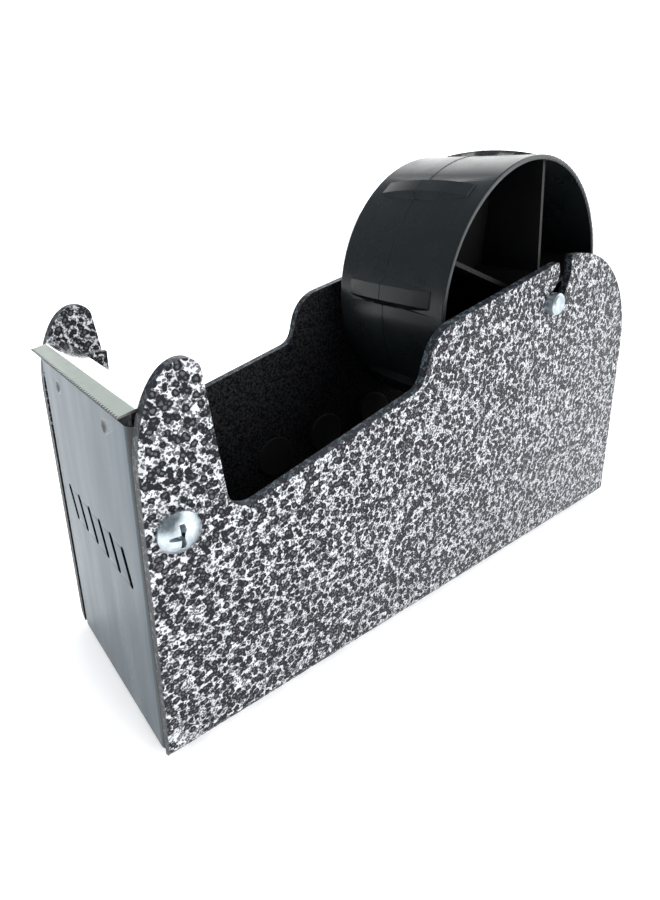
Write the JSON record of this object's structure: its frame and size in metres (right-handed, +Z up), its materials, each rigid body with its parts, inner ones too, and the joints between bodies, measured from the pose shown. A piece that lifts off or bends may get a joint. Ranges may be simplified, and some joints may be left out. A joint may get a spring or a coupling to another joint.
{
  "type": "tape dispenser",
  "caption": "Bench tape dispenser with a folded steel body, a serrated cutting blade and a lift-out hub for tape on a 76 mm core.",
  "frame": {"origin": "on the surface the dispenser stands on, under the middle of the object", "axes": "+X along the axle, across the width; -Y is the front with the blade; +Z up"},
  "size_m": [0.06, 0.188, 0.1229],
  "materials": {
    "hammertone_paint": "silver and charcoal hammertone outside, fine matte black inside",
    "gloss_black_paint": "gloss black enamel",
    "polished_blade": "polished stainless steel with a ground bevel",
    "zinc_plate": "bright zinc plate",
    "cast_ballast": "black painted casting",
    "foot_rubber": "matte",
    "pad_plastic": "matte",
    "hub_plastic": "gloss black moulding"
  },
  "bodies": {
    "body": {"body_shell": "hammertone_paint", "front_panel": "gloss_black_paint", "rear_panel": "gloss_black_paint", "blade_bracket": "gloss_black_paint", "cutter_blade": "polished_blade", "panel_screw_left": "zinc_plate", "panel_screw_right": "zinc_plate", "panel_nut_left": "zinc_plate", "panel_nut_right": "zinc_plate", "ballast_block": "cast_ballast", "ballast_screws": "zinc_plate", "foot_front_left": "foot_rubber", "foot_front_right": "foot_rubber", "foot_rear_left": "foot_rubber", "foot_rear_right": "foot_rubber", "wall_pads_left": "pad_plastic", "wall_pads_right": "pad_plastic"},
    "axle": {"axle_pin": "zinc_plate", "axle_collar_left": "zinc_plate", "axle_collar_right": "zinc_plate"},
    "hub": {"hub_drum": "hub_plastic"}
  },
  "joints": [
    {"name": "axle_lift", "type": "hinge", "parent": "body", "child": "axle", "pos_m": [0, 0.02287, 0.09137], "axis": [1, 0, 0], "range_deg": [0, 110]},
    {"name": "hub_spin", "type": "hinge", "parent": "axle", "child": "hub", "pos_m": [0, 0.0253, 0.0839], "axis": [1, 0, 0], "continuous": true}
  ]
}
